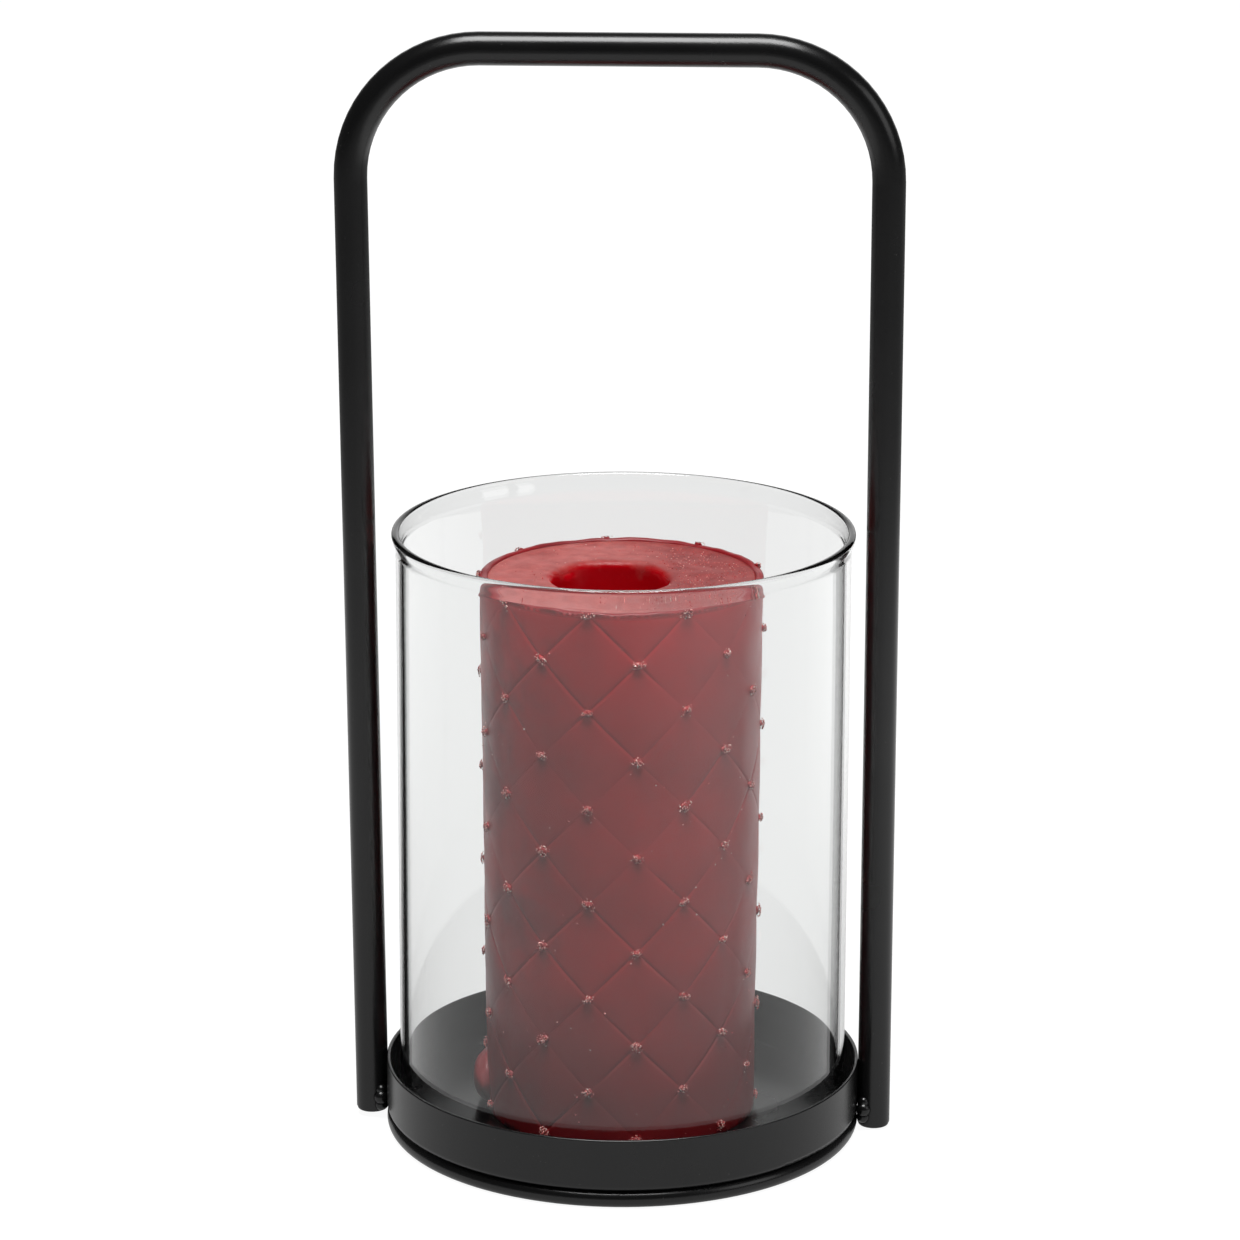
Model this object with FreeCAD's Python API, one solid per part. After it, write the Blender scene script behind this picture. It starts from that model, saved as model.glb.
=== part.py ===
import FreeCAD, Part
import math
import os

# Candle lantern: a shallow round steel tray on a wire foot ring, with one bent tube
# welded to its wall as a tall handle.  An open glass cylinder and a quilted pillar candle
# stand loose on the tray floor.
# Frame: millimetres, +Z up, origin on the table under the centre of the tray.  The handle
# spans X, and -Y is the front.  Angles on the candle are measured from -Y towards +X.

# Foot ring
RING_CENTRE_R = 57.8
RING_WIRE_R = 2.2
FOOT_LAND_DEPTH = 0.05          # wear flat that the ring rests on

# Tray
TRAY_R = 60.0
TRAY_RIM_Z = 18.0
SHEET = 0.9
TRAY_CORNER_R = 1.7             # outer radius of the corner between floor and wall
TRAY_INNER_CORNER_R = 0.8
TRAY_LIP_R = 0.3                # rounding of the wall's top edge

# Handle tube
TUBE_R = 4.1
TUBE_WALL = 1.0
HANDLE_TOP_Z = 279.7            # over the middle of the bar
HANDLE_BEND_R = 31.75           # at the tube's centreline
HANDLE_LEAN = 0.0056            # lean of the whole handle towards -X, run over rise
LEG_TOUCH_Z = 2.15              # height where a leg touches the foot ring
LEG_SPLAY = 0.0056              # outward lean of the legs, run over rise
LEG_END_Z = {"left": 1.4, "right": 0.5}

# Plugs that close the tube's two ends
PLUG_HEAD_R = 3.9
PLUG_HEAD_THICK = 0.9
PLUG_EDGE_R = 0.5
PLUG_STEM_LENGTH = 7.0

# Weld beads, as blobs in the groove on each side of a leg: offset along Y, height, radius
WELD_BLOBS = [(3.2, 3.6, 1.7), (3.5, 5.6, 1.9), (3.1, 7.5, 1.4)]
WELD_X = 61.6                   # distance of the blobs from the lantern's axis
TACK_COUNT = 4
TACK_R = 1.6
TACK_START_ANGLE = 45.0
TACK_DROP = 0.2                 # centre of a tack below the tray's underside

# Glass cylinder
GLASS_R = 56.5
GLASS_WALL = 1.9
GLASS_HEIGHT = 151.0
GLASS_BEAD_R = 0.97             # radius of the fire-polished rim
GLASS_BEAD_ROUND = 0.95         # rounding of the rim, just short of a full half circle
GLASS_BEAD_PROUD = 0.95         # how far the rim stands out from the wall
GLASS_NECK_DROP = 1.6           # from the rim down to the neck below its rounding
GLASS_NECK_BEND_R = 1.0
GLASS_FLARE_HEIGHT = 5.0
GLASS_FLARE_BEND_R = 3.0
GLASS_FOOT_ROUND = 0.5

# Candle
CANDLE_X = -0.5
CANDLE_BASE_R = 34.0
CANDLE_TOP_R = 35.2
CANDLE_TOP_Z = 144.9
SHELL_THICK = 2.0
SHELL_PROUD = 0.9               # the shell's rim stands above the core
SHELL_EDGE_R = 0.6

# Melted well in the core, and the wick in it
WELL_SHIFT_X = -2.9
WELL_R = 14.2
WELL_FLOOR_R = 11.5
WELL_DEPTH = 21.0
WELL_LIP_R = 2.5
WELL_FLOOR_ROUND = 6.0
WELL_LIP_MARGIN = 4.0           # reach of the well's cutter past its lip
WICK_R = 1.0
WICK_TIP_ABOVE_FLOOR = 9.0
WICK_TIP_ROUND = 0.4
SUSTAINER_R = 9.0
SUSTAINER_THICK = 0.4
SUSTAINER_NECK_R = 2.4
SUSTAINER_NECK_TOP_R = 1.7
SUSTAINER_NECK_HEIGHT = 5.0
SUSTAINER_NECK_FILLET = 0.8

# Glitter studs where the quilting lines cross
STUD_ROWS = 12
STUDS_PER_ROW = 9
STUD_FIRST_Z = 8.0
STUD_PITCH_Z = 12.35
STUD_FIRST_ANGLE = 10.2
STUD_R = 1.5
STUD_PROUD = 1.0

# Wax lump that set against the candle's foot
LUMP_SIZE = (4.2, 10.0, 6.8)    # half-lengths along X, Y and Z
LUMP_CENTRE_X = -34.1
LUMP_CENTRE_Z = 12.0

# Heights that follow from the sizes above
RING_Z = RING_WIRE_R - FOOT_LAND_DEPTH
TRAY_UNDER_Z = RING_Z + RING_WIRE_R
FLOOR_Z = TRAY_UNDER_Z + SHEET
HANDLE_BAR_Z = HANDLE_TOP_Z - TUBE_R
CORE_TOP_Z = CANDLE_TOP_Z - SHELL_PROUD
WELL_X = CANDLE_X + WELL_SHIFT_X
WELL_FLOOR_Z = CORE_TOP_Z - WELL_DEPTH

# Cutting bodies
CUT_MARGIN = 5.0                # how far a cutter reaches past what it removes
CUT_OVERLAP = 0.02              # keeps a cutter's face off the face it meets

AXIS_Z = FreeCAD.Vector(0, 0, 1)
SIDES = {"left": -1, "right": 1}


def vec(x, y, z):
    return FreeCAD.Vector(x, y, z)


def rounded_edges(corners, closed):
    """Edges in the XZ plane through (x, z, radius) corners, each rounded by its radius."""
    points = [vec(x, 0, z) for x, z, _ in corners]
    count = len(points)
    edges = []
    starts = []
    ends = []
    for i, (_, _, radius) in enumerate(corners):
        here = points[i]
        inner = closed or 0 < i < count - 1
        if radius == 0 or not inner:
            starts.append(here)
            ends.append(here)
            edges.append(None)
            continue
        to_last = (points[i - 1] - here).normalize()
        to_next = (points[(i + 1) % count] - here).normalize()
        half = to_last.getAngle(to_next) / 2
        reach = radius / math.tan(half)
        inward = (to_last + to_next).normalize()
        middle = here + inward * (radius / math.sin(half) - radius)
        starts.append(here + to_last * reach)
        ends.append(here + to_next * reach)
        edges.append(Part.Arc(starts[i], middle, ends[i]).toShape())
    chain = []
    for i in range(count):
        if edges[i]:
            chain.append(edges[i])
        following = (i + 1) % count
        last = i == count - 1 and not closed
        if not last and ends[i].distanceToPoint(starts[following]) > 1e-6:
            chain.append(Part.makeLine(ends[i], starts[following]))
    return chain


def turned(corners, centre_x=0.0):
    """Solid of revolution about the vertical line x = centre_x, from (radius, z, round) corners."""
    face = Part.Face(Part.Wire(rounded_edges(corners, closed=True)))
    solid = face.revolve(vec(0, 0, 0), AXIS_Z, 360)
    solid.translate(vec(centre_x, 0, 0))
    return solid


def single(shape):
    """The one solid in a boolean result."""
    if len(shape.Solids) != 1:
        raise ValueError("expected one solid, found %d" % len(shape.Solids))
    return shape.Solids[0]


def candle_radius(z):
    """Outer radius of the candle's shell at height z."""
    share = (z - FLOOR_Z) / (CANDLE_TOP_Z - FLOOR_Z)
    return CANDLE_BASE_R + (CANDLE_TOP_R - CANDLE_BASE_R) * share


def candle_cone(inset=0.0):
    """The candle's outer form, drawn in by inset and reaching past both ends."""
    low, high = FLOOR_Z - 1.0, CANDLE_TOP_Z + 1.0
    base = vec(CANDLE_X, 0, low)
    return Part.makeCone(candle_radius(low) - inset, candle_radius(high) - inset, high - low, base)


def candle_direction(angle):
    """Unit vector that points out of the candle's side at an angle in degrees."""
    turn = math.radians(angle)
    return vec(math.sin(turn), -math.cos(turn), 0)


def leg_slope(side):
    """Run over rise of a leg, positive towards +X."""
    return SIDES[side] * LEG_SPLAY - HANDLE_LEAN


def leg_x(side, z):
    """X of a leg's centreline at height z."""
    return SIDES[side] * (TRAY_R + TUBE_R) + leg_slope(side) * (z - LEG_TOUCH_Z)


def foot_ring():
    """Closed ring of round wire with a narrow flat land where it rests."""
    half_land = math.sqrt(RING_WIRE_R ** 2 - RING_Z ** 2)
    inner = vec(RING_CENTRE_R - half_land, 0, 0)
    outer = vec(RING_CENTRE_R + half_land, 0, 0)
    top = vec(RING_CENTRE_R, 0, RING_Z + RING_WIRE_R)
    section = Part.Wire([Part.Arc(inner, top, outer).toShape(), Part.makeLine(outer, inner)])
    return Part.Face(section).revolve(vec(0, 0, 0), AXIS_Z, 360)


def tray_pan():
    inner = TRAY_R - SHEET
    return turned([
        (0, TRAY_UNDER_Z, 0),
        (TRAY_R, TRAY_UNDER_Z, TRAY_CORNER_R),
        (TRAY_R, TRAY_RIM_Z, TRAY_LIP_R),
        (inner, TRAY_RIM_Z, TRAY_LIP_R),
        (inner, FLOOR_Z, TRAY_INNER_CORNER_R),
        (0, FLOOR_Z, 0),
    ])


def ring_tack_welds():
    """Small tacks inside the ring, where its wire meets the tray's underside."""
    ring = Part.makeTorus(RING_CENTRE_R, RING_WIRE_R, vec(0, 0, RING_Z))
    above = Part.makeCylinder(TRAY_R, CUT_MARGIN, vec(0, 0, TRAY_UNDER_Z))
    tacks = []
    for i in range(TACK_COUNT):
        out = candle_direction(TACK_START_ANGLE + i * 360 / TACK_COUNT)
        centre = out * (RING_CENTRE_R - RING_WIRE_R) + vec(0, 0, TRAY_UNDER_Z - TACK_DROP)
        tacks.append(single(Part.makeSphere(TACK_R, centre).cut(ring).cut(above)))
    return Part.makeCompound(tacks)


def handle_path():
    """Centreline of the handle, from the left leg's end over the bar to the right leg's end."""
    low = {side: LEG_END_Z[side] + PLUG_HEAD_THICK for side in SIDES}
    high = {side: HANDLE_BAR_Z + SIDES[side] * HANDLE_LEAN * (TRAY_R + TUBE_R) for side in SIDES}
    corners = [
        (leg_x("left", low["left"]), low["left"], 0),
        (leg_x("left", high["left"]), high["left"], HANDLE_BEND_R),
        (leg_x("right", high["right"]), high["right"], HANDLE_BEND_R),
        (leg_x("right", low["right"]), low["right"], 0),
    ]
    return Part.Wire(rounded_edges(corners, closed=False))


def swept(path, radius):
    """Round bar of a radius along a path."""
    start = path.Edges[0]
    at = start.valueAt(start.FirstParameter)
    along = start.tangentAt(start.FirstParameter)
    ring = Part.Wire(Part.makeCircle(radius, at, along))
    return path.makePipeShell([ring], True, False)


def handle_tube():
    path = handle_path()
    tube = single(swept(path, TUBE_R).cut(swept(path, TUBE_R - TUBE_WALL)))
    section = math.pi * (TUBE_R ** 2 - (TUBE_R - TUBE_WALL) ** 2)
    print("handle: volume %.1f, section times length %.1f" % (tube.Volume, section * path.Length))
    return tube


def tube_plug(side):
    """Plug with a rounded head over the tube's end and a stem in its bore."""
    z = LEG_END_Z[side]
    bore = TUBE_R - TUBE_WALL
    plug = turned([
        (0, z, 0),
        (PLUG_HEAD_R, z, PLUG_EDGE_R),
        (PLUG_HEAD_R, z + PLUG_HEAD_THICK, 0),
        (bore, z + PLUG_HEAD_THICK, 0),
        (bore, z + PLUG_HEAD_THICK + PLUG_STEM_LENGTH, 0),
        (0, z + PLUG_HEAD_THICK + PLUG_STEM_LENGTH, 0),
    ])
    lean = math.degrees(math.atan(leg_slope(side)))
    plug.rotate(vec(0, 0, z + PLUG_HEAD_THICK), vec(0, 1, 0), lean)
    plug.translate(vec(leg_x(side, z + PLUG_HEAD_THICK), 0, 0))
    return plug


def weld(side):
    """Two beads, in front of and behind a leg, in the groove between it and the tray wall."""
    foot = vec(leg_x(side, 0), 0, 0)
    leg = Part.makeCylinder(TUBE_R, TRAY_RIM_Z, foot, vec(leg_slope(side), 0, 1))
    tray_body = turned([
        (0, TRAY_UNDER_Z, 0),
        (TRAY_R, TRAY_UNDER_Z, TRAY_CORNER_R),
        (TRAY_R, TRAY_RIM_Z, 0),
        (0, TRAY_RIM_Z, 0),
    ])
    beads = []
    for face in (-1, 1):
        blobs = []
        for offset_y, height, radius in WELD_BLOBS:
            centre = vec(SIDES[side] * WELD_X, face * offset_y, height)
            blobs.append(Part.makeSphere(radius, centre))
        bead = blobs[0].multiFuse(blobs[1:])
        beads.append(single(bead.cut(leg).cut(tray_body)))
    return Part.makeCompound(beads)


def glass_cylinder():
    """Open tube with a rounded foot edge and a flared, beaded rim."""
    foot, rim = FLOOR_Z, FLOOR_Z + GLASS_HEIGHT
    inner = GLASS_R - GLASS_WALL
    bead_out = GLASS_R + GLASS_BEAD_PROUD
    bead_in = bead_out - 2 * GLASS_BEAD_R
    flare = rim - GLASS_FLARE_HEIGHT
    neck = rim - GLASS_NECK_DROP
    return turned([
        (inner, foot, GLASS_FOOT_ROUND),
        (GLASS_R, foot, GLASS_FOOT_ROUND),
        (GLASS_R, flare, GLASS_FLARE_BEND_R),
        (bead_out, neck, GLASS_NECK_BEND_R),
        (bead_out, rim, GLASS_BEAD_ROUND),
        (bead_in, rim, GLASS_BEAD_ROUND),
        (bead_in, neck, GLASS_NECK_BEND_R),
        (inner, flare, GLASS_FLARE_BEND_R),
    ])


def candle_core():
    """Poured wax inside the shell, with the melted well and the bore around the wick."""
    inset = SHELL_THICK
    body = turned([
        (0, FLOOR_Z, 0),
        (candle_radius(FLOOR_Z) - inset, FLOOR_Z, 0),
        (candle_radius(CORE_TOP_Z) - inset, CORE_TOP_Z, 0),
        (0, CORE_TOP_Z, 0),
    ], CANDLE_X)
    above = CORE_TOP_Z + CUT_MARGIN
    lip = WELL_R + WELL_LIP_R + WELL_LIP_MARGIN
    well = turned([
        (0, WELL_FLOOR_Z, 0),
        (WELL_FLOOR_R, WELL_FLOOR_Z, WELL_FLOOR_ROUND),
        (WELL_R, CORE_TOP_Z - CUT_OVERLAP, WELL_LIP_R),
        (lip, CORE_TOP_Z + CUT_OVERLAP / 2, 0),
        (lip, above, 0),
        (0, above, 0),
    ], WELL_X)
    sustainer_room = wick_sustainer_form()
    wick_room = Part.makeCylinder(WICK_R, CORE_TOP_Z - FLOOR_Z, vec(WELL_X, 0, FLOOR_Z))
    return single(body.cut(well).cut(sustainer_room).cut(wick_room))


def candle_shell():
    """Thin outer skin of the candle, open at both ends."""
    inset = SHELL_THICK
    return turned([
        (candle_radius(FLOOR_Z) - inset, FLOOR_Z, 0),
        (candle_radius(FLOOR_Z), FLOOR_Z, 0),
        (CANDLE_TOP_R, CANDLE_TOP_Z, SHELL_EDGE_R),
        (CANDLE_TOP_R - inset, CANDLE_TOP_Z, SHELL_EDGE_R),
    ], CANDLE_X)


def candle_studs():
    """Domed studs in staggered rows round the shell."""
    step = 360 / STUDS_PER_ROW
    domes = []
    for row in range(STUD_ROWS):
        z = STUD_FIRST_Z + STUD_PITCH_Z * row
        first = STUD_FIRST_ANGLE - step / 2 * (row % 2)
        reach = candle_radius(z) + STUD_PROUD - STUD_R
        for i in range(STUDS_PER_ROW):
            centre = candle_direction(first + step * i) * reach + vec(CANDLE_X, 0, z)
            domes.append(Part.makeSphere(STUD_R, centre))
    studs = Part.makeCompound(domes).cut(candle_cone())
    below = Part.makeCylinder(TRAY_R, CUT_MARGIN, vec(0, 0, FLOOR_Z - CUT_MARGIN))
    above = Part.makeCylinder(TRAY_R, CUT_MARGIN, vec(0, 0, CANDLE_TOP_Z))
    return Part.makeCompound(studs.cut(below).cut(above).Solids)


def wax_lump(studs):
    """Rounded lump that leans on the candle's left side and stands on the tray floor."""
    ball = Part.makeSphere(1.0)
    stretch = FreeCAD.Matrix()
    stretch.scale(*LUMP_SIZE)
    stretch.move(vec(LUMP_CENTRE_X, 0, LUMP_CENTRE_Z))
    lump = ball.transformGeometry(stretch)
    below = Part.makeCylinder(TRAY_R, CUT_MARGIN, vec(0, 0, FLOOR_Z - CUT_MARGIN))
    return single(lump.cut(candle_cone()).cut(below).cut(studs))


def wick():
    """Round cord from the sustainer's disc to a short free tip in the well."""
    foot = FLOOR_Z + SUSTAINER_THICK
    tip = WELL_FLOOR_Z + WICK_TIP_ABOVE_FLOOR
    return turned([
        (0, foot, 0),
        (WICK_R, foot, 0),
        (WICK_R, tip, WICK_TIP_ROUND),
        (0, tip, 0),
    ], WELL_X)


def wick_sustainer_form():
    """Disc with a tapered neck."""
    return turned([
        (0, FLOOR_Z, 0),
        (SUSTAINER_R, FLOOR_Z, 0),
        (SUSTAINER_R, FLOOR_Z + SUSTAINER_THICK, 0),
        (SUSTAINER_NECK_R, FLOOR_Z + SUSTAINER_THICK, SUSTAINER_NECK_FILLET),
        (SUSTAINER_NECK_TOP_R, FLOOR_Z + SUSTAINER_NECK_HEIGHT, 0),
        (0, FLOOR_Z + SUSTAINER_NECK_HEIGHT, 0),
    ], WELL_X)


def wick_sustainer():
    height = SUSTAINER_NECK_HEIGHT + CUT_MARGIN
    room = Part.makeCylinder(WICK_R, height, vec(WELL_X, 0, FLOOR_Z + SUSTAINER_THICK))
    return single(wick_sustainer_form().cut(room))


def build_nodes():
    """Every node of the lantern by name."""
    studs = candle_studs()
    nodes = {
        "tray_pan": tray_pan(),
        "foot_ring": foot_ring(),
        "ring_tack_welds": ring_tack_welds(),
        "handle_tube": handle_tube(),
        "glass_cylinder": glass_cylinder(),
        "candle_core": candle_core(),
        "candle_shell": candle_shell(),
        "candle_studs": studs,
        "wax_lump": wax_lump(studs),
        "wick": wick(),
        "wick_sustainer": wick_sustainer(),
    }
    for side in SIDES:
        nodes["tube_plug_" + side] = tube_plug(side)
        nodes["weld_" + side] = weld(side)
    return nodes


def write_nodes():
    os.makedirs("parts", exist_ok=True)
    for name, shape in build_nodes().items():
        if not shape.isValid():
            raise ValueError("invalid shape in " + name)
        shape.exportStep("parts/%s.step" % name)
        box = shape.BoundBox
        print("%-16s solids %3d volume %11.2f  x %7.2f..%7.2f  y %7.2f..%7.2f  z %7.2f..%7.2f" % (
            name, len(shape.Solids), shape.Volume,
            box.XMin, box.XMax, box.YMin, box.YMax, box.ZMin, box.ZMax))


write_nodes()
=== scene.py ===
import math
import random

import bmesh
import bpy
from mathutils import Euler, Matrix, Vector, noise


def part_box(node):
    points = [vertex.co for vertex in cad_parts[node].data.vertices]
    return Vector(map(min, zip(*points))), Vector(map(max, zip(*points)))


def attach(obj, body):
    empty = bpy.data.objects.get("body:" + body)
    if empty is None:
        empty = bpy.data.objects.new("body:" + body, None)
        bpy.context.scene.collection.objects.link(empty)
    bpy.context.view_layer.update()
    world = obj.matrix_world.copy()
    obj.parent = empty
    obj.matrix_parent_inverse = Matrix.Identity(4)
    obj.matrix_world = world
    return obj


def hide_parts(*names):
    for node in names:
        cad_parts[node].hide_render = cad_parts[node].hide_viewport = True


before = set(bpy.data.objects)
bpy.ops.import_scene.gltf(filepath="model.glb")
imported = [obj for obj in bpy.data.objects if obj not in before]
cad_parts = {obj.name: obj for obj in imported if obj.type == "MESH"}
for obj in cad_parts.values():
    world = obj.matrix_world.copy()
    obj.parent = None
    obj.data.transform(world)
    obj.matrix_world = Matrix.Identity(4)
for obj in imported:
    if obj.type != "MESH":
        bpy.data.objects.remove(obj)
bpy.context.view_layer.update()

MM = 0.001
rng = random.Random(41)

# Sizes read from the frame
FLOOR_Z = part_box("candle_shell")[0].z
SHELL_LOW, SHELL_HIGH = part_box("candle_shell")
LUMP_LOW, LUMP_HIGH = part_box("wax_lump")
WICK_LOW, WICK_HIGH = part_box("wick")
SUSTAINER_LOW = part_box("wick_sustainer")[0]
CANDLE_X = (SHELL_LOW.x + SHELL_HIGH.x) / 2
CANDLE_TOP_Z = SHELL_HIGH.z
CANDLE_TOP_R = (SHELL_HIGH.x - SHELL_LOW.x) / 2
CORE_TOP_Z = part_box("candle_core")[1].z
WELL_X = (WICK_LOW.x + WICK_HIGH.x) / 2

# Candle details
CANDLE_TAPER = 1.2 * MM           # the top's radius less the foot's
CANDLE_BASE_R = CANDLE_TOP_R - CANDLE_TAPER
SHELL_THICK = 2.0 * MM
STUD_ROWS = 12
STUDS_PER_ROW = 9
STUD_FIRST_Z = 8.0 * MM
STUD_PITCH_Z = 12.35 * MM
STUD_FIRST_ANGLE = 10.2
STUD_R = 1.5 * MM
PILLOW_HEIGHT = 0.14 * MM
PILLOW_ROUND = 2.5 * MM
GROOVE_DEPTH = 0.15 * MM
GROOVE_WIDTH = 0.26 * MM
GROOVE_FADE_SCALE = 45            # noise per metre that fades the grooves in places
SKIN_WAVES = ((55, 0.12), (19, 0.25))     # noise per metre, height in mm
CELL_DIVISIONS = 20               # steps along each side of a quilted diamond
RIM_ROLL_HEIGHT = 0.7 * MM        # the skin's rim rolls over from here up
RIM_ROLL = ((0.15, 0.25), (0.5, 0.05), (1.0, 0.0), (1.5, 0.1), (1.9, 0.4), (2.05, 2.0))  # mm in, mm down
WELL_R = 14.2 * MM
WELL_FLOOR_R = 11.5 * MM
WELL_LIP_R = 2.5 * MM
WELL_FLOOR_ROUND = 6.0 * MM
WELL_DEPTH = 21.0 * MM
WELL_FLOOR_STEPS = 7
WELL_WALL_STEPS = 8
WELL_LIP_STEPS = 8
CORE_SEGMENTS = 160
CORE_TOP_RINGS = 28               # rings between the well's lip and the core's rim
CORE_SHOULDER = 3 * MM            # below the core's top, where its side runs straight down
RECESS_R = 9.2 * MM               # room for the sustainer's disc in the core's foot
RECESS_BORE_R = 1.2 * MM
RECESS_RISE = 0.5 * MM
LUMP_HALF_X = 4.1 * MM
LUMP_HALF_Z = 6.7 * MM
STRAND_R = 0.5 * MM               # the wick's three strands
STRAND_OFFSET = 0.46 * MM         # from the wick's axis to a strand's
STRAND_SIDES = 8
STRAND_STEPS = 260
TWISTS_PER_M = 160
SIDE_FLAKES = 640                 # stray grains on the candle's side
TOP_FLAKES = 2600                 # fine grains on its top

# Glass cylinder
GLASS_LOW, GLASS_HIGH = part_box("glass_cylinder")
GLASS_WALL = 1.9 * MM
GLASS_FLARE = 0.95 * MM
GLASS_FLARE_HEIGHT = 5.0 * MM
GLASS_FOOT_ROUND = 0.5 * MM
GLASS_SEGMENTS = 320
GLASS_WALL_STEPS = 14
GLASS_FLARE_STEPS = 12
GLASS_RIM_STEPS = 14
GLASS_FOOT_STEPS = 5
GLASS_WAVE = 0.04                 # mm

# Studio
TABLE_R = 0.62
SWEEP_R = 6.0
SWEEP_DROP = 0.5 * MM             # the sweep lies this far under the table's face
CAMERA_LENS = 145.97
CAMERA_DISTANCE = 1.2006          # along the floor from the lantern's axis
CAMERA_AZIMUTH = 3.653            # degrees from -Y towards +X
CAMERA_HEIGHT = 0.479
CAMERA_DOWN = 16.089              # degrees below level
CAMERA_ROLL = -0.114
CAMERA_TURN = 3.727

STUD_STEP = 360 / STUDS_PER_ROW
CELL_HEIGHT = 2 * STUD_PITCH_Z    # height of a quilted diamond


def new_object(name, mesh_or_bmesh, material, smooth=True):
    """Puts a mesh or bmesh into the scene as a named object with one material."""
    if isinstance(mesh_or_bmesh, bmesh.types.BMesh):
        mesh = bpy.data.meshes.new(name)
        mesh_or_bmesh.to_mesh(mesh)
        mesh_or_bmesh.free()
    else:
        mesh = mesh_or_bmesh
    for polygon in mesh.polygons:
        polygon.use_smooth = smooth
    mesh.materials.append(material)
    piece = bpy.data.objects.new(name, mesh)
    bpy.context.scene.collection.objects.link(piece)
    return piece


def candle_radius(z):
    """Outer radius of the candle at height z."""
    share = (z - FLOOR_Z) / (CANDLE_TOP_Z - FLOOR_Z)
    return CANDLE_BASE_R + (CANDLE_TOP_R - CANDLE_BASE_R) * share


def candle_point(angle, z, radius):
    """Point round the candle's axis; the angle in degrees runs from -Y towards +X."""
    turn = math.radians(angle)
    return Vector((CANDLE_X + radius * math.sin(turn), -radius * math.cos(turn), z))


# ---------------------------------------------------------------- materials

def math_node(tree, operation, a, b):
    """Math node on two inputs, each a number or another node's output."""
    node = tree.nodes.new("ShaderNodeMath")
    node.operation = operation
    for source, target in zip((a, b), node.inputs):
        if isinstance(source, (int, float)):
            target.default_value = source
        else:
            tree.links.new(source, target)
    return node.outputs["Value"]


class Nodes:
    """Short way to build a material's node tree around its Principled shader."""

    def __init__(self, name):
        self.material = bpy.data.materials.new(name)
        self.material.use_nodes = True
        self.tree = self.material.node_tree
        self.shader = self.tree.nodes["Principled BSDF"]
        self.coords = self.tree.nodes.new("ShaderNodeTexCoord").outputs["Object"]

    def set(self, **values):
        """Sets shader sockets by name, such as base_color for Base Color."""
        for name, value in values.items():
            socket = name.replace("_", " ").title().replace("Ior", "IOR")
            self.shader.inputs[socket].default_value = value

    def wire(self, output, socket):
        """Links an output to a socket, or to the shader's socket of that name."""
        target = self.shader.inputs[socket] if isinstance(socket, str) else socket
        self.tree.links.new(output, target)

    def noise(self, scale, detail=2.0, roughness=0.5, vector=None):
        n = self.tree.nodes.new("ShaderNodeTexNoise")
        n.inputs["Scale"].default_value = scale
        n.inputs["Detail"].default_value = detail
        n.inputs["Roughness"].default_value = roughness
        self.wire(vector or self.coords, n.inputs["Vector"])
        return n.outputs["Fac"]

    def ramp(self, source, *stops):
        """Colour ramp from (position, colour) stops."""
        n = self.tree.nodes.new("ShaderNodeValToRGB")
        ramp = n.color_ramp
        while len(ramp.elements) < len(stops):
            ramp.elements.new(0.5)
        for element, (position, colour) in zip(ramp.elements, stops):
            element.position = position
            element.color = (*colour, 1.0)
        self.wire(source, n.inputs["Fac"])
        return n.outputs["Color"]

    def span(self, source, low, high, to_low, to_high):
        """Maps a value from one range to another, clamped."""
        n = self.tree.nodes.new("ShaderNodeMapRange")
        n.inputs["From Min"].default_value = low
        n.inputs["From Max"].default_value = high
        n.inputs["To Min"].default_value = to_low
        n.inputs["To Max"].default_value = to_high
        self.wire(source, n.inputs["Value"])
        return n.outputs["Result"]

    def math(self, operation, a, b):
        return math_node(self.tree, operation, a, b)

    def mix(self, factor, a, b):
        """Mixes two colours, each a tuple or another node's output."""
        n = self.tree.nodes.new("ShaderNodeMix")
        n.data_type = "RGBA"
        self.wire(factor, n.inputs["Factor"])
        for source, target in ((a, n.inputs[6]), (b, n.inputs[7])):
            if isinstance(source, tuple):
                target.default_value = (*source, 1.0)
            else:
                self.wire(source, target)
        return n.outputs[2]

    def axis_distance(self, x):
        """Distance from the vertical line through (x, 0)."""
        shift = self.tree.nodes.new("ShaderNodeVectorMath")
        shift.operation = "SUBTRACT"
        shift.inputs[1].default_value = (x, 0, 0)
        self.wire(self.coords, shift.inputs[0])
        flat = self.tree.nodes.new("ShaderNodeVectorMath")
        flat.operation = "MULTIPLY"
        flat.inputs[1].default_value = (1, 1, 0)
        self.wire(shift.outputs["Vector"], flat.inputs[0])
        length = self.tree.nodes.new("ShaderNodeVectorMath")
        length.operation = "LENGTH"
        self.wire(flat.outputs["Vector"], length.inputs[0])
        return length.outputs["Value"]

    def separate(self):
        n = self.tree.nodes.new("ShaderNodeSeparateXYZ")
        self.wire(self.coords, n.inputs["Vector"])
        return n.outputs

    def bump(self, height, distance, strength=1.0):
        n = self.tree.nodes.new("ShaderNodeBump")
        n.inputs["Distance"].default_value = distance
        n.inputs["Strength"].default_value = strength
        self.wire(height, n.inputs["Height"])
        self.wire(n.outputs["Normal"], "Normal")


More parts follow.
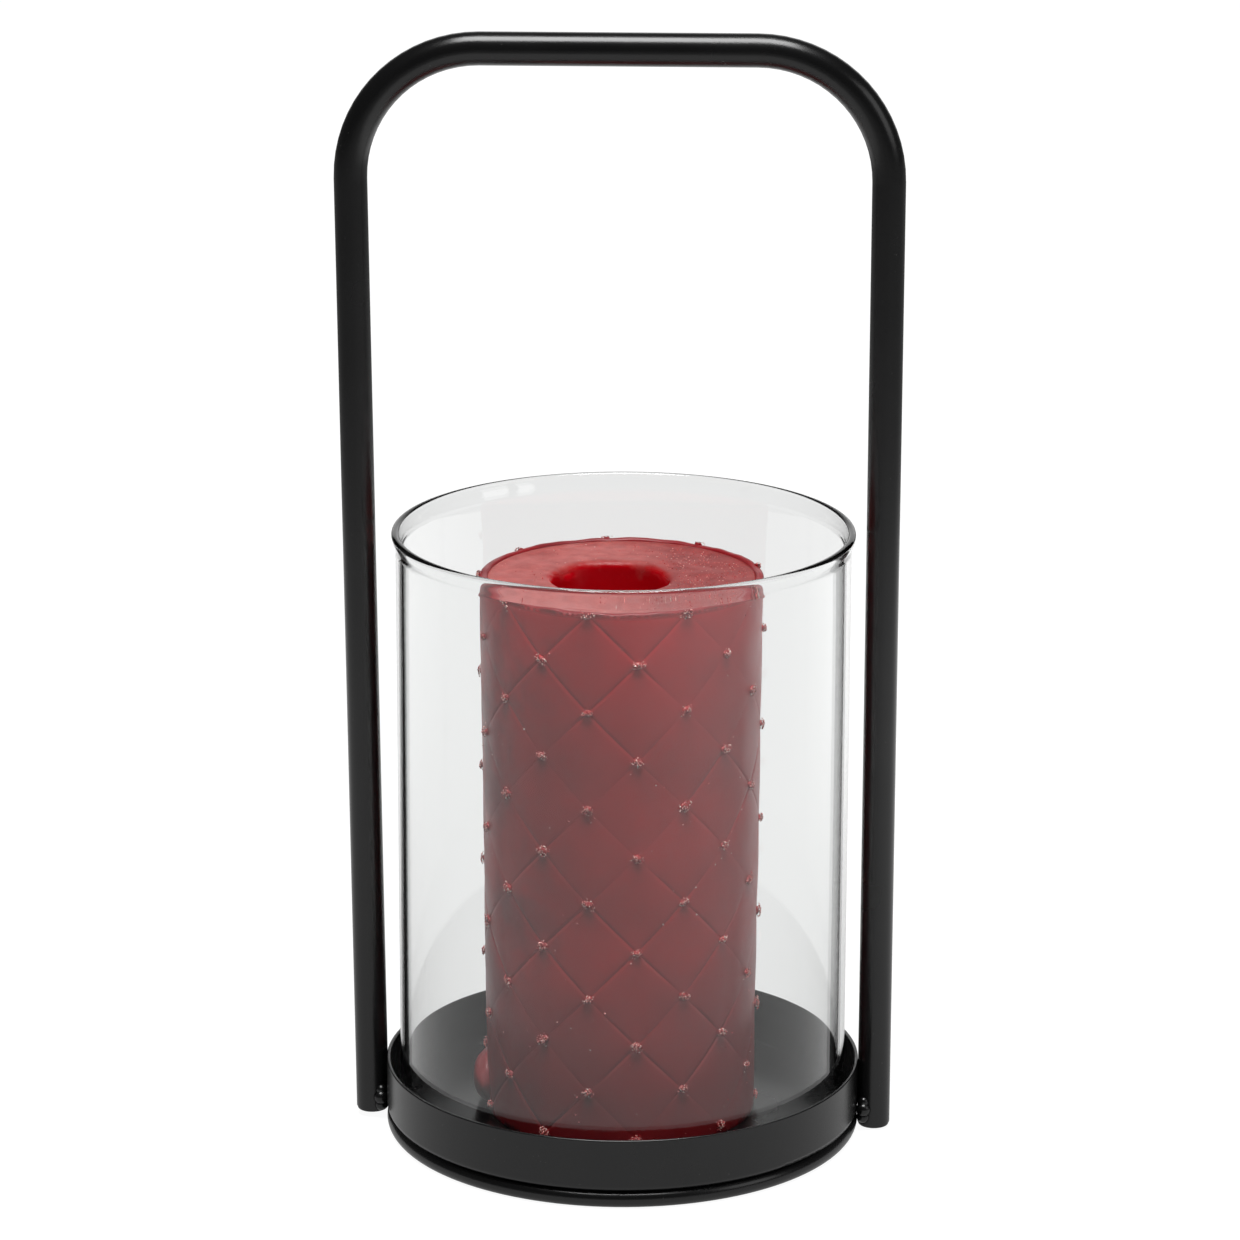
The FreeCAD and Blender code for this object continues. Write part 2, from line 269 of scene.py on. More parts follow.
def powder_coat():
    """Satin black powder coat: faint orange peel, uneven gloss and a little dust."""
    m = Nodes("powder_coat")
    tone = m.ramp(m.noise(70, 4), (0.3, (0.0028, 0.0028, 0.003)), (0.75, (0.0046, 0.0046, 0.0048)))
    dust = m.span(m.noise(1500, 1), 0.78, 0.82, 0, 1)
    m.wire(m.mix(dust, tone, (0.05, 0.05, 0.048)), "Base Color")
    m.wire(m.span(m.noise(45, 3), 0.3, 0.7, 0.22, 0.28), "Roughness")
    m.bump(m.noise(1400, 2), 0.03 * MM, 0.4)
    return m.material


def clear_glass():
    """Clear drawn glass with slight waviness."""
    m = Nodes("clear_glass")
    m.set(transmission_weight=1.0, ior=1.5, base_color=(0.972, 0.978, 0.975, 1))
    m.wire(m.span(m.noise(28, 3), 0.55, 0.8, 0.0, 0.02), "Roughness")
    m.bump(m.noise(22, 1), 0.05 * MM, 0.25)
    return m.material


def shell_wax():
    """Deep red satin wax skin, a little cloudy, with painted light: a painted glow towards the top, and
    painted shade in blotches on the left side, towards the foot and just under the rim.
    """
    m = Nodes("shell_wax")
    place = m.separate()
    cloud = m.noise(38, 4, 0.6)
    skin = m.ramp(cloud, (0.3, (0.42, 0.012, 0.016)), (0.7, (0.64, 0.021, 0.027)))
    # Painted glow: the skin turns a lighter red towards the top.
    height = m.math("ADD", place["Z"], m.math("MULTIPLY", m.noise(35, 2), 24 * MM))
    painted_top_glow = m.span(height, CANDLE_TOP_Z - 24 * MM, CANDLE_TOP_Z + 14 * MM, 0, 1)
    with_painted_glow = m.mix(painted_top_glow, skin, (0.88, 0.02, 0.032))
    # Painted shade: dark red blotches over the left side of the skin, stronger further left.
    painted_shade_on_left = m.span(place["X"], CANDLE_X, CANDLE_X - 22 * MM, 0, 0.7)
    painted_shade_blotches = m.math("MULTIPLY", m.span(m.noise(30, 4, 0.6), 0.5, 0.64, 0, 1), painted_shade_on_left)
    with_painted_blotches = m.mix(painted_shade_blotches, with_painted_glow, (0.22, 0.022, 0.03))
    # Painted shade: the skin darkens towards the foot.
    foot = m.span(place["Z"], FLOOR_Z, FLOOR_Z + 55 * MM, 0.75, 0)
    low = m.mix(foot, with_painted_blotches, (0.12, 0.004, 0.008))
    # Painted shade: a dark band just under the rolled rim.
    rim = m.span(place["Z"], CANDLE_TOP_Z - 2.2 * MM, CANDLE_TOP_Z - 1.0 * MM, 0, 0.85)
    m.wire(m.mix(rim, low, (0.16, 0.005, 0.009)), "Base Color")
    m.wire(m.span(m.noise(90, 3), 0.3, 0.7, 0.34, 0.46), "Roughness")
    m.set(subsurface_weight=0.25, subsurface_radius=(0.004, 0.0008, 0.0006), subsurface_scale=1.0)
    m.bump(m.noise(240, 3), 0.05 * MM, 0.4)
    return m.material


def core_wax():
    """Dusty rose wax: scuffed and glittery on top, clear deep red in the melted well."""
    m = Nodes("core_wax")
    place = m.separate()
    mottle = m.noise(260, 5, 0.65)
    rose = m.ramp(mottle, (0.3, (0.33, 0.058, 0.054)), (0.7, (0.49, 0.115, 0.105)))
    ruddy = m.ramp(mottle, (0.3, (0.21, 0.02, 0.02)), (0.7, (0.35, 0.05, 0.047)))
    sideways = m.math("ADD", place["X"], m.math("MULTIPLY", m.noise(60, 2), 14 * MM))
    top = m.mix(m.span(sideways, 3 * MM, 20 * MM, 0, 1), rose, ruddy)
    ragged = m.math("ADD", m.axis_distance(WELL_X), m.math("MULTIPLY", m.noise(190, 3), 2.6 * MM))
    outside = m.span(ragged, WELL_R + 1.4 * MM, WELL_R + 3.2 * MM, 0, 1)
    m.wire(m.mix(outside, (0.40, 0.001, 0.005), top), "Base Color")
    m.wire(m.span(outside, 0, 1, 0.08, 0.5), "Specular IOR Level")
    m.wire(m.span(outside, 0, 1, 0.2, 0.5), "Roughness")
    m.set(subsurface_weight=0.3, subsurface_radius=(0.006, 0.001, 0.0008), subsurface_scale=1.0)
    m.bump(m.noise(900, 4, 0.7), 0.12 * MM, 0.6)
    return m.material


def glitter():
    """Red, rose and pale gold grains, one tint to each grain."""
    m = Nodes("glitter")
    island = m.tree.nodes.new("ShaderNodeNewGeometry").outputs["Random Per Island"]
    m.wire(m.ramp(
        island,
        (0.0, (0.35, 0.008, 0.014)),
        (0.35, (0.75, 0.10, 0.10)),
        (0.65, (1.0, 0.42, 0.38)),
        (1.0, (1.0, 0.85, 0.78)),
    ), "Base Color")
    m.wire(m.span(island, 0.5, 1, 0.0, 0.35), "Metallic")
    m.wire(m.span(m.noise(2500, 1), 0.3, 0.7, 0.15, 0.4), "Roughness")
    return m.material


def wick_cotton():
    """Charred cotton."""
    m = Nodes("wick_cotton")
    height = m.separate()["Z"]
    soot = m.span(height, WICK_HIGH.z - 8 * MM, WICK_HIGH.z - 2 * MM, 0, 1)
    m.wire(m.mix(soot, (0.42, 0.20, 0.15), (0.012, 0.01, 0.009)), "Base Color")
    m.set(roughness=0.95)
    m.bump(m.noise(2500, 3), 0.1 * MM, 0.8)
    return m.material


def tinned_steel():
    """Thin tinned disc with faint rolling marks."""
    m = Nodes("tinned_steel")
    m.wire(m.ramp(m.noise(220, 3), (0.3, (0.5, 0.5, 0.5)), (0.7, (0.66, 0.66, 0.65))), "Base Color")
    m.wire(m.span(m.noise(600, 2), 0.3, 0.7, 0.25, 0.42), "Roughness")
    m.set(metallic=1.0)
    return m.material


# ---------------------------------------------------------------- glass

def arc(centre, radius, start, end, steps):
    """Points of an arc in the (radius, height) plane, angles in degrees from outwards."""
    turns = [math.radians(start + (end - start) * k / steps) for k in range(steps + 1)]
    return [(centre[0] + radius * math.cos(t), centre[1] + radius * math.sin(t)) for t in turns]


def glass_profile():
    """Closed outline of the glass wall: round foot edges, straight wall, flared round rim."""
    wall_r = GLASS_HIGH.x - GLASS_FLARE
    inner_r = wall_r - GLASS_WALL
    rim_r = GLASS_WALL / 2
    foot = GLASS_LOW.z + GLASS_FOOT_ROUND
    rim_z = GLASS_HIGH.z - rim_r
    bend_z = GLASS_HIGH.z - GLASS_FLARE_HEIGHT
    outline = arc((wall_r - GLASS_FOOT_ROUND, foot), GLASS_FOOT_ROUND, -90, 0, GLASS_FOOT_STEPS)
    heights = [foot + (bend_z - foot) * k / GLASS_WALL_STEPS for k in range(1, GLASS_WALL_STEPS + 1)]
    outline += [(wall_r, z) for z in heights]
    flare = []
    for k in range(1, GLASS_FLARE_STEPS + 1):
        share = k / GLASS_FLARE_STEPS
        swell = share * share * (3 - 2 * share)
        flare.append((GLASS_FLARE * swell, bend_z + (rim_z - bend_z) * share))
    outline += [(wall_r + out, z) for out, z in flare]
    outline += arc((GLASS_HIGH.x - rim_r, rim_z), rim_r, 0, 180, GLASS_RIM_STEPS)[1:]
    outline += [(inner_r + out, z) for out, z in reversed(flare[:-1])]
    outline += [(inner_r, z) for z in reversed(heights)]
    outline += arc((inner_r + GLASS_FOOT_ROUND, foot), GLASS_FOOT_ROUND, 180, 270, GLASS_FOOT_STEPS)
    return outline


def glass_wall(material):
    """Drawn glass tube, a trace wavy, with a fire-polished rim."""
    bm = bmesh.new()
    outline = glass_profile()
    rings = []
    for k in range(GLASS_SEGMENTS):
        turn = 2 * math.pi * k / GLASS_SEGMENTS
        out = Vector((math.cos(turn), math.sin(turn), 0))
        ring = []
        for radius, z in outline:
            wave = (noise.noise(out * 1.3 + Vector((0, 0, z * 14))) - 1) * GLASS_WAVE * MM
            ring.append(bm.verts.new(out * (radius + wave) + Vector((0, 0, z))))
        rings.append(ring)
    count = len(outline)
    for k in range(GLASS_SEGMENTS):
        here, there = rings[k], rings[(k + 1) % GLASS_SEGMENTS]
        for n in range(count):
            bm.faces.new((here[n], there[n], there[(n + 1) % count], here[(n + 1) % count]))
    bmesh.ops.recalc_face_normals(bm, faces=bm.faces)
    return new_object("glass_wall", bm, material)


# ---------------------------------------------------------------- candle

def quilt_radius(angle, z, s, t):
    """Radius of the quilted surface: low pillows with hairline grooves that fade in places."""
    cell_width = math.pi * 2 * CANDLE_TOP_R / STUDS_PER_ROW / math.sqrt(2)
    where = candle_point(angle, z, candle_radius(z))
    swell = 1.0
    groove = 0.0
    for share in (s, t):
        distance = min(share, 1 - share) * cell_width
        swell *= 1 - math.exp(-distance / PILLOW_ROUND)
        groove = max(groove, math.exp(-(distance / GROOVE_WIDTH) ** 2))
    faded = 0.1 + 0.9 * min(1, max(0, noise.noise(where * GROOVE_FADE_SCALE) * 2.5 + 0.45))
    uneven = sum(noise.noise(where * scale) * height * MM for scale, height in SKIN_WAVES)
    return candle_radius(z) - PILLOW_HEIGHT * (1 - swell) - GROOVE_DEPTH * groove * faded + uneven


def extrude_ring(bm, edges, radius_at, z_at):
    """Extrudes a boundary ring and moves the new ring to a radius and height by angle."""
    made = bmesh.ops.extrude_edge_only(bm, edges=edges)["geom"]
    for vert in (g for g in made if isinstance(g, bmesh.types.BMVert)):
        flat = Vector((vert.co.x - CANDLE_X, vert.co.y, 0)).normalized()
        radius = radius_at(vert.co)
        vert.co = Vector((CANDLE_X + flat.x * radius, flat.y * radius, z_at(vert.co)))
    return [g for g in made if isinstance(g, bmesh.types.BMEdge)]


def quilted_shell(material):
    """The candle's skin: pillowed diamonds between thin grooves, with a rolled, uneven rim."""
    bm = bmesh.new()
    steps = [0.5 - 0.5 * math.cos(math.pi * k / CELL_DIVISIONS) for k in range(CELL_DIVISIONS + 1)]
    low_q = (FLOOR_Z - STUD_FIRST_Z) / CELL_HEIGHT
    high_q = (CANDLE_TOP_Z - STUD_FIRST_Z) / CELL_HEIGHT
    for n in range(math.floor(2 * low_q) - 1, math.ceil(2 * high_q) + 2):
        if (n + 1) / 2 < low_q or (n - 1) / 2 > high_q:
            continue
        for k in range(STUDS_PER_ROW):
            i = k + (n + n % 2) // 2
            j = i - n
            grid = []
            for s in steps:
                column = []
                for t in steps:
                    a, b = i + s, j + t
                    angle = STUD_FIRST_ANGLE + (a + b) / 2 * STUD_STEP
                    z = STUD_FIRST_Z + (a - b) / 2 * CELL_HEIGHT
                    column.append(bm.verts.new(candle_point(angle, z, quilt_radius(angle, z, s, t))))
                grid.append(column)
            for u in range(CELL_DIVISIONS):
                for v in range(CELL_DIVISIONS):
                    corners = (grid[u][v], grid[u][v + 1], grid[u + 1][v + 1], grid[u + 1][v])
                    bm.faces.new(corners)
    bmesh.ops.remove_doubles(bm, verts=bm.verts, dist=0.002 * MM)
    rim_start = CANDLE_TOP_Z - RIM_ROLL_HEIGHT
    for height, direction in ((FLOOR_Z, -1), (rim_start, 1)):
        bmesh.ops.bisect_plane(
            bm, geom=bm.verts[:] + bm.edges[:] + bm.faces[:], dist=0.0001 * MM,
            plane_co=(0, 0, height), plane_no=(0, 0, direction), clear_outer=True)
    bottom = [e for e in bm.edges if e.is_boundary and e.verts[0].co.z < FLOOR_Z + MM]
    top = [e for e in bm.edges if e.is_boundary and e.verts[0].co.z > rim_start - MM]

    def ragged(co):
        """Small rise and fall of the rim."""
        return noise.noise(Vector((co.x, co.y, 0)) * 160) * 0.35 * MM

    for inset, drop in RIM_ROLL:
        top = extrude_ring(
            bm, top,
            lambda co, inset=inset: CANDLE_TOP_R - inset * MM + ragged(co) * 0.4,
            lambda co, drop=drop: CANDLE_TOP_Z - (drop + 0.35) * MM + min(0.35 * MM, ragged(co)))
    bottom = extrude_ring(bm, bottom, lambda co: CANDLE_BASE_R - SHELL_THICK, lambda co: FLOOR_Z)
    bmesh.ops.bridge_loops(bm, edges=top + bottom)
    bmesh.ops.recalc_face_normals(bm, faces=bm.faces)
    return new_object("quilted_shell", bm, material)


def well_profile():
    """Rings of the core from the well's middle out: (radius, height, share of the way to the rim)."""
    floor_z = CORE_TOP_Z - WELL_DEPTH
    rings = [(WELL_FLOOR_R * share, floor_z, 0.0) for share in (0.15, 0.3, 0.42)]
    for k in range(WELL_FLOOR_STEPS + 1):
        turn = math.radians(90 * k / WELL_FLOOR_STEPS)
        rings.append((WELL_FLOOR_R - WELL_FLOOR_ROUND * (1 - math.sin(turn)),
                      floor_z + WELL_FLOOR_ROUND * (1 - math.cos(turn)), 0.0))
    wall_top = CORE_TOP_Z - WELL_LIP_R
    for k in range(1, WELL_WALL_STEPS):
        share = k / WELL_WALL_STEPS
        rings.append((WELL_FLOOR_R + (WELL_R - WELL_FLOOR_R) * share,
                      floor_z + WELL_FLOOR_ROUND + (wall_top - floor_z - WELL_FLOOR_ROUND) * share, 0.0))
    for k in range(WELL_LIP_STEPS + 1):
        turn = math.radians(90 * k / WELL_LIP_STEPS)
        rings.append((WELL_R + WELL_LIP_R * (1 - math.cos(turn)),
                      wall_top + WELL_LIP_R * math.sin(turn), 0.0))
    start = WELL_R + WELL_LIP_R
    edge = CANDLE_TOP_R - SHELL_THICK
    for k in range(1, CORE_TOP_RINGS + 1):
        share = k / CORE_TOP_RINGS
        rings.append((start + (edge - start) * share, CORE_TOP_Z, share))
    return rings


def candle_core(material):
    """Poured wax: uneven top, soft-edged melted well, flat foot with the sustainer's recess."""
    bm = bmesh.new()
    count = CORE_SEGMENTS
    recess_top = SUSTAINER_LOW.z + RECESS_RISE
    below = [
        (CANDLE_TOP_R - SHELL_THICK, CORE_TOP_Z - CORE_SHOULDER, 1.0),
        (CANDLE_BASE_R - SHELL_THICK, FLOOR_Z, 1.0),
        (RECESS_R, FLOOR_Z, 0.0),
        (RECESS_R, recess_top, 0.0),
        (RECESS_BORE_R, recess_top, 0.0),
    ]
    rings = []
    surface = well_profile()
    for index, (radius, z, share) in enumerate(surface + below):
        centre_x = WELL_X + (CANDLE_X - WELL_X) * share
        ring = []
        for k in range(count):
            turn = 2 * math.pi * k / count
            out = Vector((math.cos(turn), math.sin(turn), 0))
            spot = Vector((centre_x, 0, z)) + out * radius
            if index < len(surface):
                fade = 1 - share ** 4
                wobble = noise.noise(out * 1.6 + Vector((0, 0, z * 30)))
                spot += out * wobble * 0.7 * MM * fade
                if z > CORE_TOP_Z - WELL_LIP_R:
                    rough = noise.noise(spot * 130) * 0.35 + noise.noise(spot * 420) * 0.12
                    spot.z += (rough - 0.35) * MM * min(1, (1 - share) * 6)
            ring.append(bm.verts.new(spot))
        rings.append(ring)
    for inner, outer in zip(rings, rings[1:]):
        for k in range(count):
            bm.faces.new((inner[k], outer[k], outer[(k + 1) % count], inner[(k + 1) % count]))
    for ring in (rings[0], rings[-1]):
        middle = bm.verts.new(sum((v.co for v in ring), Vector()) / count)
        for k in range(count):
            bm.faces.new((ring[k], ring[(k + 1) % count], middle))
    bmesh.ops.recalc_face_normals(bm, faces=bm.faces)
    return new_object("poured_core", bm, material)


def grain_template(divisions):
    """Vertices and faces of a unit icosphere."""
    bm = bmesh.new()
    bmesh.ops.create_icosphere(bm, subdivisions=divisions, radius=1.0)
    verts = [v.co.copy() for v in bm.verts]
    faces = [tuple(v.index for v in f.verts) for f in bm.faces]
    bm.free()
    return verts, faces


def scatter(name, template, placements, jitter, material, smooth):
    """One mesh of many grains, one for each placement matrix, each corner shaken by jitter."""
    verts, faces = template
    all_verts = []
    all_faces = []
    for matrix in placements:
        start = len(all_verts)
        for co in verts:
            shake = Vector((rng.uniform(-1, 1), rng.uniform(-1, 1), rng.uniform(-1, 1))) * jitter
            all_verts.append(matrix @ (co + shake))
        all_faces.extend(tuple(start + i for i in face) for face in faces)
    mesh = bpy.data.meshes.new(name)
    mesh.from_pydata(all_verts, [], all_faces)
    return new_object(name, mesh, material, smooth)


def stud_places():
    """(angle, height) of every stud."""
    places = []
    for row in range(STUD_ROWS):
        first = STUD_FIRST_ANGLE - STUD_STEP / 2 * (row % 2)
        z = STUD_FIRST_Z + STUD_PITCH_Z * row
        places.extend((first + STUD_STEP * i, z) for i in range(STUDS_PER_ROW))
    return places


def outward_frame(angle, z, radius):
    """Matrix at a point on the candle's side, with local Z pointing out."""
    turn = math.radians(angle)
    out = Vector((math.sin(turn), -math.cos(turn), 0))
    across = Vector((math.cos(turn), math.sin(turn), 0))
    place = candle_point(angle, z, radius)
    return Matrix((
        (across.x, 0, out.x, place.x),
        (across.y, 0, out.y, place.y),
        (0, 1, 0, place.z),
        (0, 0, 0, 1),
    ))


def random_turn():
    """Matrix that turns a grain any way round."""
    return Euler([rng.uniform(0, 2 * math.pi) for _ in range(3)]).to_matrix().to_4x4()


def stud_clusters(grain_material, mound_material):
    """Ragged heaps of glitter grains, one at each crossing of the grooves."""
    grains = []
    mounds = []
    for angle, z in stud_places():
        base = outward_frame(angle, z, candle_radius(z) - PILLOW_HEIGHT)
        wide = STUD_R * rng.uniform(1.05, 1.45)
        tall = wide * rng.uniform(0.6, 0.9)
        lobes = [rng.uniform(0.65, 1.15) for _ in range(7)]
        tilt = Matrix.Rotation(rng.uniform(-0.7, 0.7), 4, "Z")
        mounds.append(base @ tilt @ Matrix.Diagonal((wide * 0.6, tall * 0.6, 0.6 * MM, 1)))
        for _ in range(rng.randint(60, 84)):
            reach = rng.random() ** 0.6
            around = rng.uniform(0, 2 * math.pi)
            rise = 0.8 * MM * math.sqrt(max(0.0, 1 - reach * reach)) + rng.uniform(0.1, 0.3) * MM
            spread = reach * lobes[int(around / (2 * math.pi) * len(lobes))]
            spot = Matrix.Translation((
                wide * spread * math.cos(around), tall * spread * math.sin(around), rise))
            size = rng.uniform(0.09, 0.26) * MM
            shape = Matrix.Diagonal((size, size * rng.uniform(0.6, 1.0), size * rng.uniform(0.3, 0.7), 1))
            grains.append(base @ tilt @ spot @ random_turn() @ shape)
    grain_piece = scatter("stud_grains", grain_template(1), grains, 0.2, grain_material, False)
    mound_piece = scatter("stud_mounds", grain_template(3), mounds, 0.12, mound_material, True)
    for made in (grain_piece, mound_piece):
        for vert in made.data.vertices:
            vert.co.z = min(max(vert.co.z, FLOOR_Z + 0.1 * MM), CANDLE_TOP_Z - 0.2 * MM)
    return grain_piece, mound_piece


def loose_glitter(material):
    """Stray grains that shed from the studs, and fine ones over the right of the candle's top."""
    flakes = []
    for k in range(SIDE_FLAKES):
        angle, z = rng.choice(stud_places())
        spread = 1.0 if k % 2 else 2.4
        angle += rng.gauss(0, 6) * spread
        z += rng.gauss(-1.5, 4.5) * spread * MM
        if not FLOOR_Z + MM < z < CANDLE_TOP_Z - 1.5 * MM:
            continue
        size = rng.choice((0.1, 0.14, 0.2, 0.28)) * MM
        shape = Matrix.Diagonal((size, size * rng.uniform(0.6, 1), size * 0.5, 1))
        flakes.append(outward_frame(angle, z, candle_radius(z) - 0.1 * MM) @ random_turn() @ shape)
    edge = CANDLE_TOP_R - SHELL_THICK
    for _ in range(TOP_FLAKES):
        reach = math.sqrt(rng.random()) * edge
        around = rng.uniform(0, 2 * math.pi)
        x, y = CANDLE_X + reach * math.cos(around), reach * math.sin(around)
        if math.hypot(x - WELL_X, y) < WELL_R + 2 * MM:
            continue
        if rng.random() > 0.12 + 0.88 * min(1, max(0, (x + 2 * MM) / (14 * MM))):
            continue
        size = rng.uniform(0.07, 0.17) * MM
        shape = Matrix.Diagonal((size, size, size * 0.5, 1))
        spot = Matrix.Translation((x, y, CORE_TOP_Z - 0.25 * MM))
        flakes.append(spot @ random_turn() @ shape)
    return scatter("loose_glitter", grain_template(1), flakes, 0.15, material, False)


def wax_lump(material):
    """Uneven lump of set wax against the candle's foot."""
    bm = bmesh.new()
    bmesh.ops.create_icosphere(bm, subdivisions=5, radius=1.0)
    middle = (LUMP_LOW + LUMP_HIGH) / 2
    half = Vector((LUMP_HALF_X, (LUMP_HIGH.y - LUMP_LOW.y) / 2, LUMP_HALF_Z))
    centre = Vector((LUMP_LOW.x + half.x + 0.2 * MM, middle.y, LUMP_HIGH.z - half.z - 0.1 * MM))
    for vert in bm.verts:
        swell = 1 + noise.noise(vert.co * 1.7) * 0.06 - 0.03
        vert.co = centre + Vector([c * h * swell for c, h in zip(vert.co, half)])
        vert.co.z = max(vert.co.z, FLOOR_Z + 0.02 * MM)
    return new_object("set_wax_lump", bm, material)


def wick(material):
    """Three twisted strands of cotton with a slightly bent, charred tip."""
    bm = bmesh.new()
    length = WICK_HIGH.z - WICK_LOW.z
    for strand in range(3):
        last = None
        for k in range(STRAND_STEPS + 1):
            share = k / STRAND_STEPS
            z = WICK_LOW.z + length * share
            twist = 2 * math.pi * (TWISTS_PER_M * length * share + strand / 3)
            bend = 2.2 * MM * max(0.0, (share - 0.95) / 0.05) ** 2
            middle = Vector((
                WELL_X + bend + STRAND_OFFSET * math.cos(twist), STRAND_OFFSET * math.sin(twist), z))
            radius = STRAND_R * (1.0 if share < 0.985 else 0.6)
            ring = []
            for n in range(STRAND_SIDES):
                turn = 2 * math.pi * n / STRAND_SIDES
                ring.append(bm.verts.new(
                    middle + Vector((radius * math.cos(turn), radius * math.sin(turn), 0))))
            if last:
                for n in range(STRAND_SIDES):
                    following = (n + 1) % STRAND_SIDES
                    bm.faces.new((last[n], last[following], ring[following], ring[n]))
            else:
                bm.faces.new(ring[::-1])
            last = ring
        bm.faces.new(last)
    return new_object("twisted_wick", bm, material)


# ---------------------------------------------------------------- stage

def flat_piece(name, outline, z, material):
    """Flat face with a given outline, facing up."""
    mesh = bpy.data.meshes.new(name)
    mesh.from_pydata([(x, y, z) for x, y in outline], [], [range(len(outline))])
    piece = new_object(name, mesh, material, smooth=False)
    return piece


def floor_point(azimuth, distance):
    """Point on the floor; the azimuth in degrees runs from -Y towards +X."""
    turn = math.radians(azimuth)
    return distance * math.sin(turn), -distance * math.cos(turn)


def floor_paint(name, seen, through, mirrored):
    """White surface: bright to the eye, softer through glass, and in reflections carrying a painted
    shadow round the lantern and painted light to the right and behind.
    """
    m = Nodes(name)
    m.set(base_color=(0.12, 0.12, 0.12, 1), roughness=1.0, specular_ior_level=0.0)
    m.set(emission_color=(1, 1, 1, 1))
    path = m.tree.nodes.new("ShaderNodeLightPath")
    place = m.separate()
    # Seen only in reflections: a painted shadow round the lantern, and painted light to the right and
    # behind.
    painted_shadow_near_lantern = m.span(m.axis_distance(0), 0.08, 0.32, -0.16, 0)
    right = m.span(place["X"], 0.03, 0.34, 0, 0.4)
    behind = m.span(place["Y"], 0.0, 0.3, 0, 0.35)
    uneven = m.math("ADD", m.math("ADD", painted_shadow_near_lantern, right), m.math("ADD", behind, 1.0))
    reflection = m.math("MULTIPLY", uneven, mirrored)
    is_mirrored = m.math("GREATER_THAN", path.outputs["Glossy Depth"], 0.5)
    glossy = m.math("MULTIPLY", is_mirrored, m.math("SUBTRACT", reflection, through))
    indirect = m.math("ADD", glossy, through)
    direct = m.math("MULTIPLY", path.outputs["Is Camera Ray"], seen)
    m.wire(m.math("MAXIMUM", indirect, direct), "Emission Strength")
    return m.material


def studio_floor():
    """Softly lit white table with a bright middle and a far part that is dim in reflections."""
    middle = [floor_point(azimuth, TABLE_R) for azimuth in range(0, 360, 5)]
    far = [floor_point(azimuth, SWEEP_R) for azimuth in range(0, 360, 5)]
    table_white = floor_paint("table_white", seen=0.95, through=0.75, mirrored=0.60)
    sweep_white = floor_paint("sweep_white", seen=0.95, through=0.75, mirrored=0.08)
    flat_piece("table", middle[::-1], 0.0, table_white)
    flat_piece("sweep", far[::-1], -SWEEP_DROP, sweep_white)


def softbox(name, place, target, size, power):
    """Large area light aimed at a point."""
    data = bpy.data.lights.new(name, "AREA")
    data.shape = "RECTANGLE"
    data.size, data.size_y = size
    data.energy = power
    lamp = bpy.data.objects.new(name, data)
    lamp.location = place
    lamp.rotation_euler = (Vector(target) - Vector(place)).to_track_quat("-Z", "Y").to_euler()
    bpy.context.scene.collection.objects.link(lamp)


def studio_world():
    """White to the eye, grey through glass; a dim room with a white wall behind to the rest."""
    world = bpy.data.worlds.new("studio")
    world.use_nodes = True
    tree = world.node_tree
    background = tree.nodes["Background"]
    path = tree.nodes.new("ShaderNodeLightPath")
    heading = tree.nodes.new("ShaderNodeTexCoord")
    parts = tree.nodes.new("ShaderNodeSeparateXYZ")
    wall = tree.nodes.new("ShaderNodeMapRange")
    wall_stops = {"From Min": 0.8, "From Max": 0.97, "To Min": 0.06, "To Max": 0.95}
    for socket, value in wall_stops.items():
        wall.inputs[socket].default_value = value
    tree.links.new(heading.outputs["Generated"], parts.inputs["Vector"])
    tree.links.new(parts.outputs["Y"], wall.inputs["Value"])
    never_scattered = math_node(tree, "LESS_THAN", path.outputs["Diffuse Depth"], 0.5)
    in_glass = math_node(tree, "MULTIPLY", never_scattered, path.outputs["Is Transmission Ray"])
    glass_grey = math_node(tree, "MULTIPLY", in_glass, 0.34)
    room = math_node(tree, "MAXIMUM", wall.outputs["Result"], glass_grey)
    strength = math_node(tree, "MAXIMUM", room, path.outputs["Is Camera Ray"])
    tree.links.new(strength, background.inputs["Strength"])
    background.inputs["Color"].default_value = (1, 1, 1, 1)
    bpy.context.scene.world = world


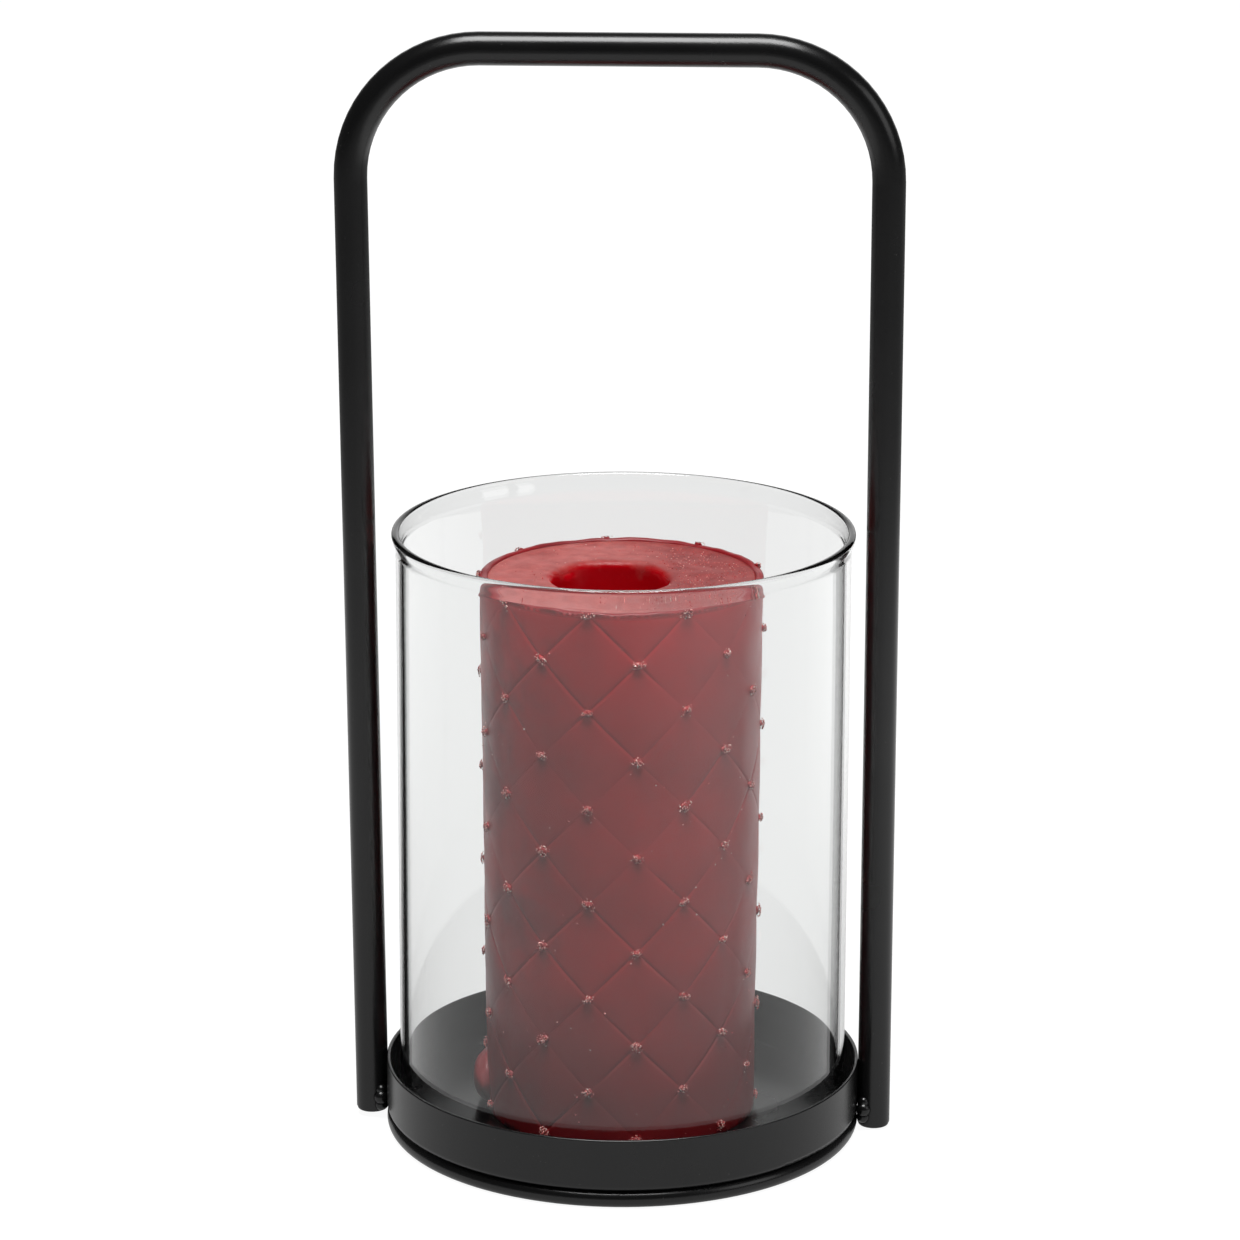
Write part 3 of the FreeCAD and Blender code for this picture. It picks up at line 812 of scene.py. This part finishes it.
def camera():
    """Long lens, a little above the lantern and looking down at it."""
    data = bpy.data.cameras.new("camera")
    data.lens = CAMERA_LENS
    data.sensor_width = 36.0
    data.clip_start, data.clip_end = 0.05, 50
    piece = bpy.data.objects.new("camera", data)
    x, y = floor_point(CAMERA_AZIMUTH, CAMERA_DISTANCE)
    piece.location = (x, y, CAMERA_HEIGHT)
    turns = (90 - CAMERA_DOWN, CAMERA_ROLL, CAMERA_TURN)
    piece.rotation_euler = Euler([math.radians(a) for a in turns])
    bpy.context.scene.collection.objects.link(piece)
    bpy.context.scene.camera = piece


# ---------------------------------------------------------------- assembly

def paint_frame_nodes(materials):
    """Gives every shown CAD node its detailed material by slot name."""
    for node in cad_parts.values():
        for slot in node.material_slots:
            slot.material = materials[slot.material.name.split(".")[0]]


def main():
    materials = {
        "powder_coat": powder_coat(),
        "clear_glass": clear_glass(),
        "shell_wax": shell_wax(),
        "core_wax": core_wax(),
        "glitter": glitter(),
        "wick_cotton": wick_cotton(),
        "tinned_steel": tinned_steel(),
    }
    paint_frame_nodes(materials)
    grains, mounds = stud_clusters(materials["glitter"], materials["shell_wax"])
    made = [
        (quilted_shell(materials["shell_wax"]), "shell_wax", ["candle_shell"]),
        (candle_core(materials["core_wax"]), "core_wax", ["candle_core"]),
        (grains, "glitter", ["candle_studs"]),
        (mounds, "shell_wax", []),
        (loose_glitter(materials["glitter"]), "glitter", []),
        (wax_lump(materials["shell_wax"]), "shell_wax", ["wax_lump"]),
        (wick(materials["wick_cotton"]), "wick_cotton", ["wick"]),
    ]
    glass = glass_wall(materials["clear_glass"])
    glass.visible_shadow = False
    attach(glass, "glass")
    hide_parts("glass_cylinder")
    for piece, slot, nodes in made:
        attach(piece, "candle")
        if nodes:
            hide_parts(*nodes)

    studio_floor()
    studio_world()
    softbox("overhead", place=(0, -0.45, 3.0), target=(0, -0.1, 0), size=(1.65, 1.65), power=115)
    softbox("side_fill", place=(1.3, -0.5, 0.75), target=(0, 0, 0.1), size=(0.8, 0.8), power=2.5)
    camera()
    scene = bpy.context.scene
    scene.view_settings.view_transform = "Standard"
    scene.cycles.caustics_refractive = False
    scene.cycles.caustics_reflective = False
    scene.cycles.transparent_max_bounces = 16
    scene.cycles.max_bounces = 16


main()
